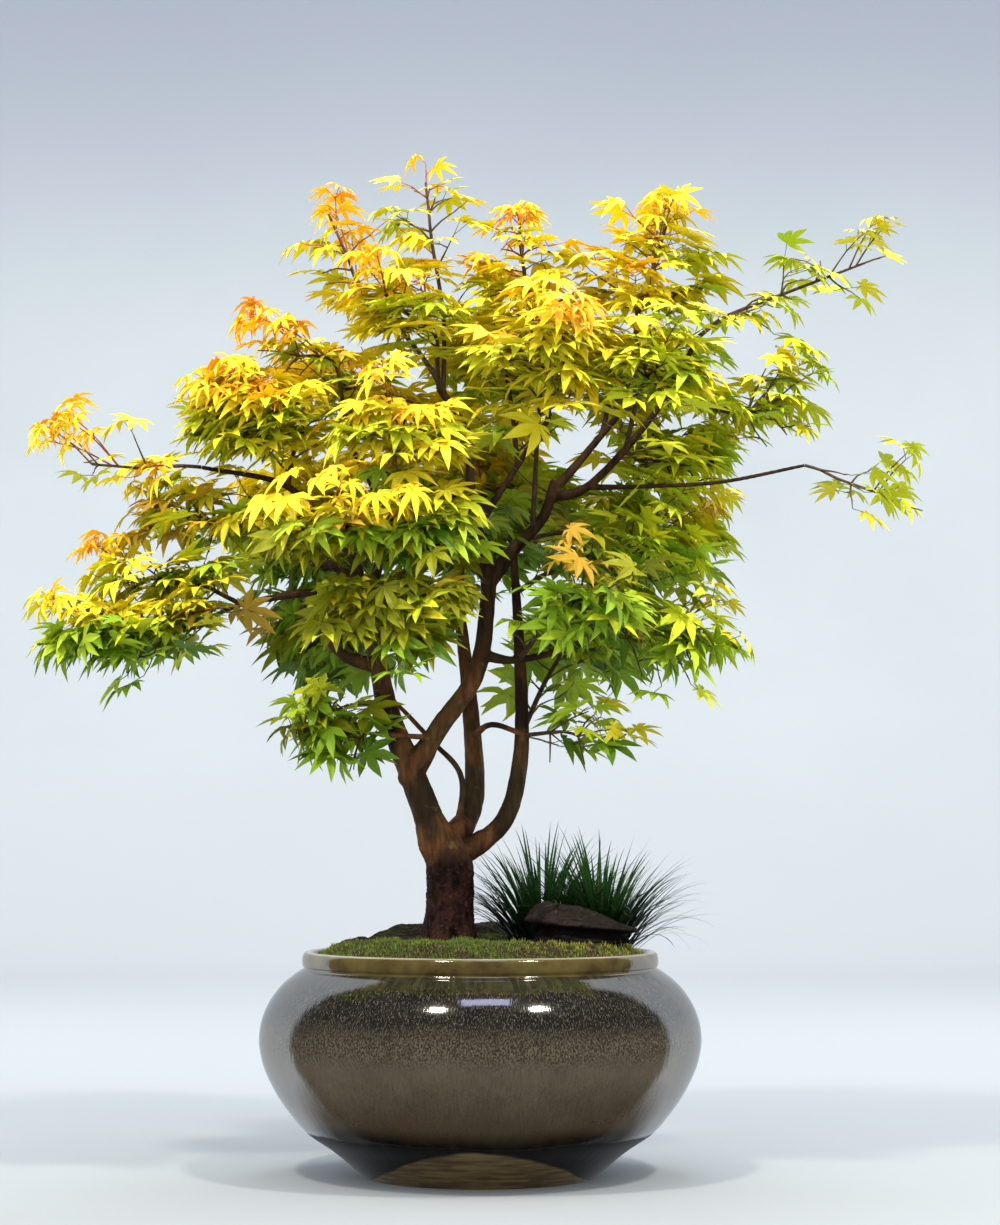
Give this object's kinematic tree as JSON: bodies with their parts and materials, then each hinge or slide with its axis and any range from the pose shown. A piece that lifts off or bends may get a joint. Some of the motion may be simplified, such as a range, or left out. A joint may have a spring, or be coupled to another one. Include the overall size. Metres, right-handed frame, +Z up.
{
  "type": "potted bonsai maple tree",
  "caption": "Small leaning maple in autumn leaf with a forked trunk, spreading boughs and leafy sprays, in a round bulging glazed pot with mossy soil, a stone and grass.",
  "frame": {"origin": "centre of the pot's flat underside", "axes": "+Z up the plant, +X to its right and +Y to its back as seen from the front"},
  "size_m": [0.7149, 0.4203, 0.8031],
  "materials": {
    "pot_glaze": "dark streaked gloss glaze",
    "soil": "moist soil with moss",
    "stone": "rough dark brown stone",
    "bark": "rough brown bark",
    "grass": "dark green blades",
    "leaf_gold": "golden autumn leaves",
    "leaf_lime": "yellow-green leaves",
    "leaf_green": "green leaves"
  },
  "bodies": {
    "root": {"pot": "pot_glaze", "soil_bed": "soil", "stone": "stone", "grass_clump": "grass", "trunk": "bark", "left_leader": "bark", "centre_leader": "bark", "back_leader": "bark", "right_leader": "bark", "upper_left_bough": "bark", "upper_right_bough": "bark", "right_high_bough": "bark", "right_arm_bough": "bark", "far_right_twig": "bark", "top_middle_bough": "bark", "hooked_bough": "bark", "left_low_bough": "bark", "left_mid_bough": "bark", "left_high_bough": "bark", "high_left_bough": "bark", "mid_right_bough": "bark", "low_right_twig": "bark", "low_left_twig": "bark", "inner_shoot": "bark", "left_low_lower": "leaf_green", "left_low_upper": "leaf_gold", "left_shoots": "leaf_gold", "left_mid": "leaf_lime", "left_upper_layer": "leaf_gold", "upper_left_tip": "leaf_gold", "top_shoot": "leaf_lime", "top_left": "leaf_gold", "crown_top": "leaf_gold", "crown_right": "leaf_gold", "right_high_arm": "leaf_lime", "right_tip": "leaf_lime", "right_arm_mid": "leaf_lime", "right_inner": "leaf_lime", "right_low": "leaf_green", "right_low_upper": "leaf_green", "low_right_spray": "leaf_green", "low_left_spray": "leaf_green", "crown_left": "leaf_gold", "front_gold_left": "leaf_gold", "front_gold_high": "leaf_gold", "front_low": "leaf_gold", "front_centre": "leaf_lime", "front_yellow_top": "leaf_gold", "front_right_top": "leaf_lime", "front_right_low": "leaf_green", "back_low_left": "leaf_lime", "back_left": "leaf_lime", "back_centre": "leaf_green", "back_right": "leaf_green", "back_top": "leaf_lime", "back_low_right": "leaf_green", "back_left_high": "leaf_gold", "back_right_high": "leaf_lime"}
  },
  "joints": []
}
